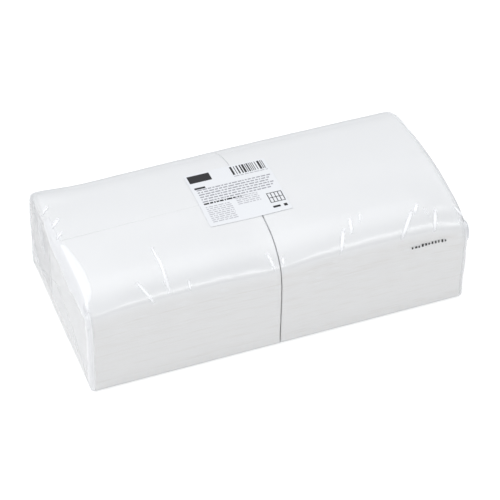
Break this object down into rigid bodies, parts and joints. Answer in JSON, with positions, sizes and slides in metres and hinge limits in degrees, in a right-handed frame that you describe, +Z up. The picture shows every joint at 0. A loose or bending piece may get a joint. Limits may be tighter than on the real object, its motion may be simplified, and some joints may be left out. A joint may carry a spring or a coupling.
{
  "type": "pack of paper napkins",
  "caption": "Sealed clear-film pack of white folded paper napkins in stacks side by side, with crowned top, envelope-folded ends and a paper label on top.",
  "frame": {"origin": "centre of the pack's footprint, on the face it rests on", "axes": "+X along the pack's length, +Y from the front long side to the back, +Z up"},
  "size_m": [0.3344, 0.173, 0.0986],
  "materials": {
    "napkin_paper": "soft white tissue",
    "clear_film": "clear glossy polypropylene film",
    "label_paper": "coated white paper"
  },
  "bodies": {
    "root": {"napkin_stack_front_left": "napkin_paper", "napkin_stack_front_right": "napkin_paper", "napkin_stack_back_left": "napkin_paper", "napkin_stack_back_right": "napkin_paper", "film_wrap": "clear_film", "paper_label": "label_paper"}
  },
  "joints": []
}
